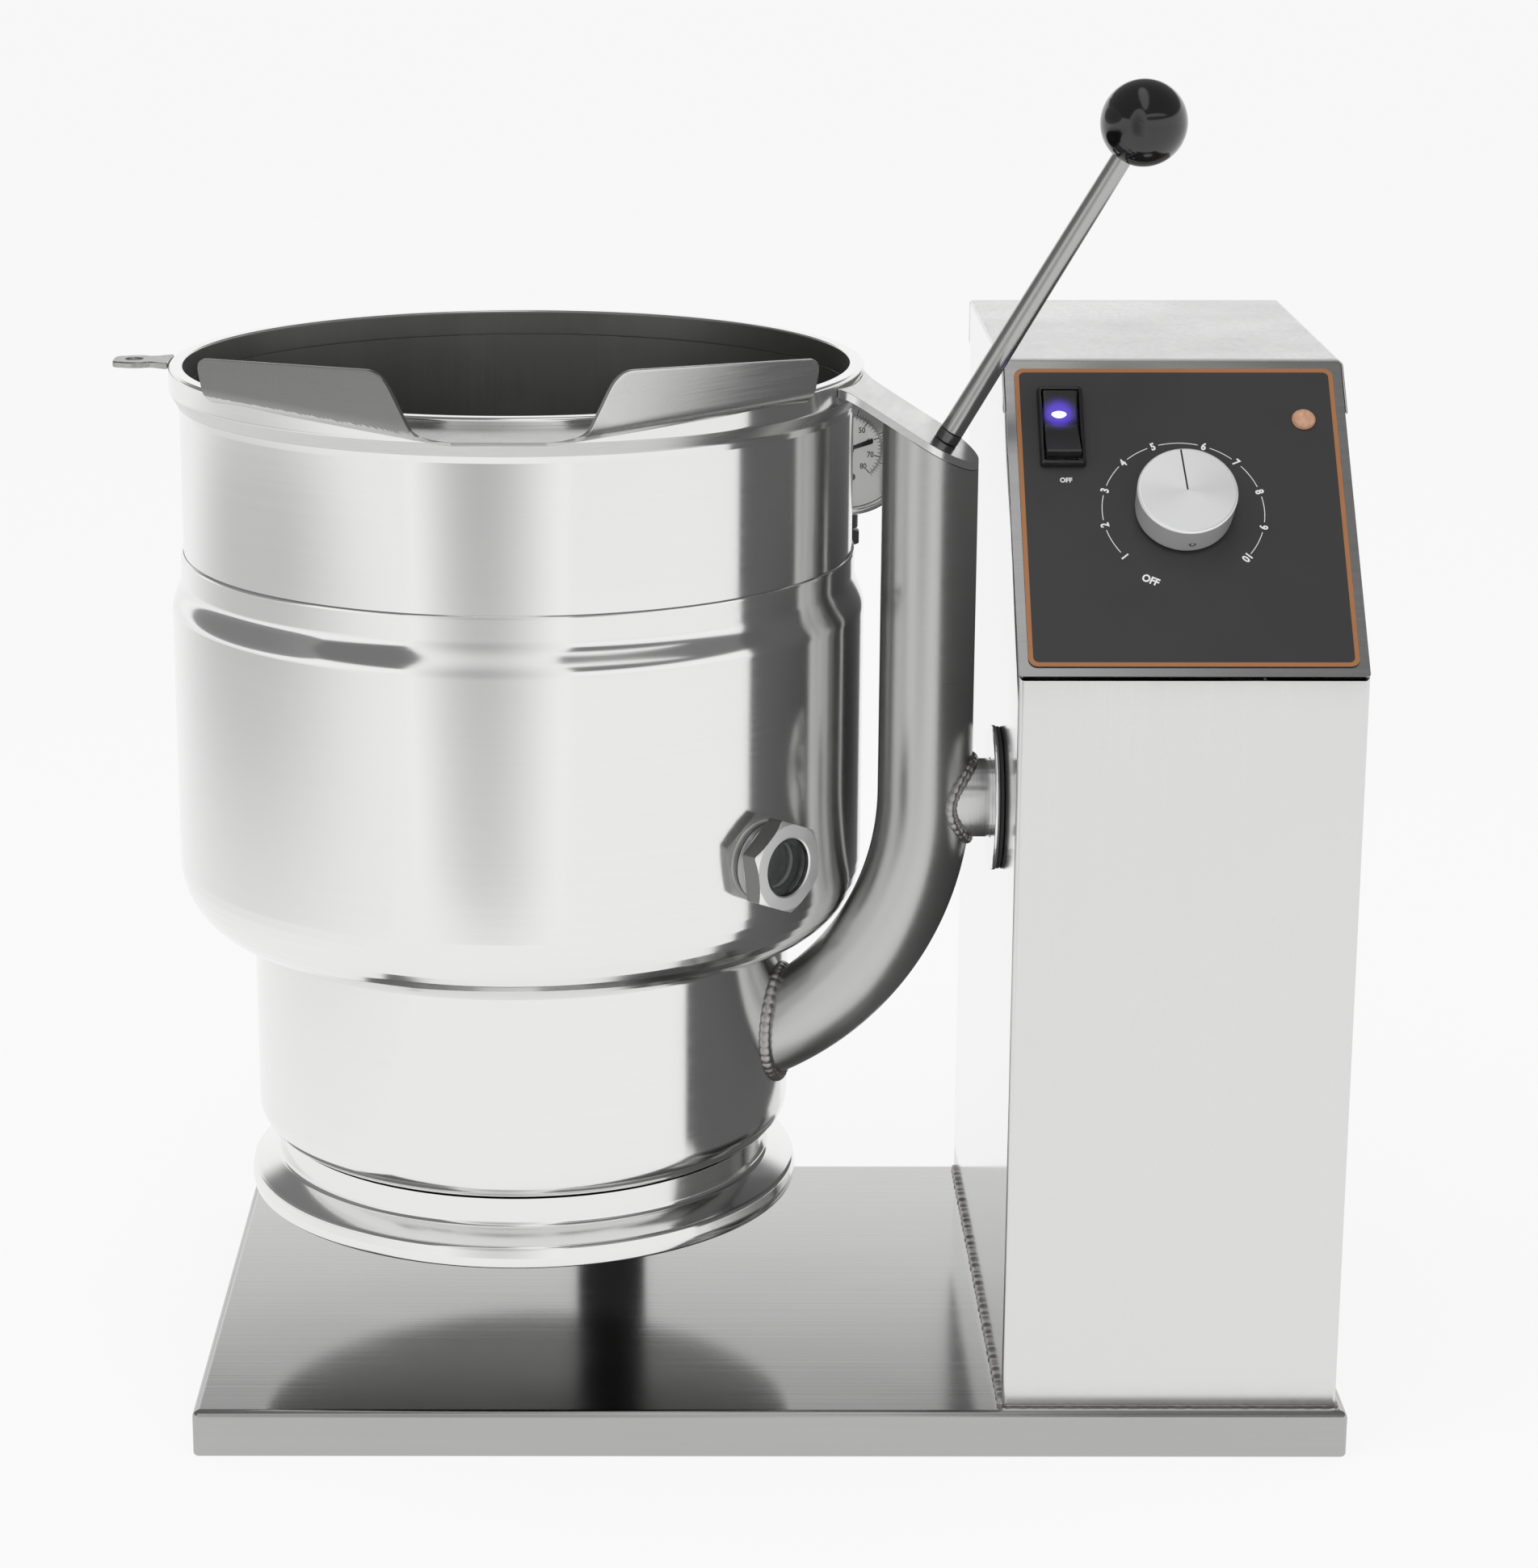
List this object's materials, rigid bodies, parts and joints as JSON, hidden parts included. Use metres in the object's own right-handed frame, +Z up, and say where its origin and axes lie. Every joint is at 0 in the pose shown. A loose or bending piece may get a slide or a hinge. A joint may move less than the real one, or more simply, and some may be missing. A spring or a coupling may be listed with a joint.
{
  "type": "tilting steam jacketed kettle",
  "caption": "Tabletop electric steam jacketed kettle that tilts on a trunnion beside a control console, with a pouring lip, tilt lever, sight glass and pressure gauge.",
  "frame": {"origin": "centre of the unit's footprint, the box round everything at rest, on the surface it stands on", "axes": "+Z up, -Y to the front, where the pouring lip and the control panel face, +X to the right, where the console stands"},
  "size_m": [0.6972, 0.4794, 0.7604],
  "materials": {
    "brushed_stainless": "brushed stainless steel",
    "polished_stainless": "polished stainless steel",
    "plain_steel": "mill finish stainless steel",
    "dark_steel": "dark oxide steel",
    "bronze": "bearing bronze",
    "brass": "plain brass",
    "spun_aluminium": "spun",
    "black_rubber": "matte",
    "silicone_gasket": "matte",
    "black_plastic": "satin",
    "ball_plastic": "glossy moulded plastic",
    "panel_film": "speckled charcoal film with a copper coloured border",
    "amber_lens": "translucent lens",
    "dark_lens": "translucent lens",
    "dial_white": "printed dial",
    "clear_glass": "clear",
    "board_green": "circuit board"
  },
  "bodies": {
    "stand": {"base_plate": "brushed_stainless", "console_body": "brushed_stainless", "console_top_cover": "brushed_stainless", "console_back_panel": "brushed_stainless", "control_panel": "brushed_stainless", "panel_overlay": "panel_film", "switch_housing": "black_plastic", "heat_lamp": "amber_lens", "low_water_lamp": "dark_lens", "thermostat_body": "black_plastic", "component_plate": "plain_steel", "contactor": "black_plastic", "terminal_block": "black_plastic", "level_control_board": "board_green", "cable_gland": "black_plastic", "trunnion_bracket": "plain_steel", "trunnion_bush_left": "bronze", "trunnion_bush_right": "bronze", "escutcheon_disc": "polished_stainless", "escutcheon_seal": "black_rubber", "tilt_stop_bar": "plain_steel"},
    "kettle": {"kettle_liner": "brushed_stainless", "rim_bar": "polished_stainless", "outer_jacket": "polished_stainless", "heater_housing": "polished_stainless", "sump_plate": "plain_steel", "bottom_cover": "polished_stainless", "heating_element_1": "plain_steel", "heating_element_2": "plain_steel", "heating_element_3": "plain_steel", "level_probe": "plain_steel", "thermostat_bulb": "plain_steel", "pour_lip": "polished_stainless", "lifting_lug": "polished_stainless", "rim_strap": "polished_stainless", "support_arm": "polished_stainless", "trunnion_shaft": "plain_steel", "stop_collar": "dark_steel", "handle_collar": "dark_steel", "handle_rod": "brushed_stainless", "ball_knob": "ball_plastic", "sight_boss": "plain_steel", "sight_gasket": "silicone_gasket", "sight_nut": "polished_stainless", "sight_window": "clear_glass", "gauge_case": "polished_stainless", "gauge_dial": "dial_white", "gauge_lens": "clear_glass", "gauge_stem": "plain_steel", "gauge_nut": "plain_steel", "gauge_boss": "plain_steel", "safety_valve": "brass"},
    "thermostat_knob": {"control_knob": "spun_aluminium", "knob_set_screw": "dark_steel", "thermostat_shaft": "spun_aluminium"},
    "rocker": {"switch_rocker": "black_plastic"},
    "needle": {"gauge_needle": "black_plastic"},
    "relief_lever": {"valve_lever": "plain_steel"}
  },
  "joints": [
    {"name": "kettle_tilt", "type": "hinge", "parent": "stand", "child": "kettle", "pos_m": [0.11195, -0.05575, 0.3543], "axis": [1, 0, 0], "range_deg": [0, 95]},
    {"name": "knob_turn", "type": "hinge", "parent": "stand", "child": "thermostat_knob", "pos_m": [0.24865, -0.09713, 0.53278], "axis": [0, -0.7238, 0.69], "range_deg": [-137.4, 150.3]},
    {"name": "rocker_tip", "type": "hinge", "parent": "stand", "child": "rocker", "pos_m": [0.18415, -0.05664, 0.56903], "axis": [1, 0, 0], "range_deg": [0, 14]},
    {"name": "needle_turn", "type": "hinge", "parent": "kettle", "child": "needle", "pos_m": [0.07484, 0.13686, 0.5198], "axis": [0, -1, 0], "range_deg": [-67, 203]},
    {"name": "relief_lever_lift", "type": "hinge", "parent": "kettle", "child": "relief_lever", "pos_m": [-0.06147, 0.21041, 0.4698], "axis": [0.2588, 0.9659, 0], "range_deg": [0, 20]}
  ]
}
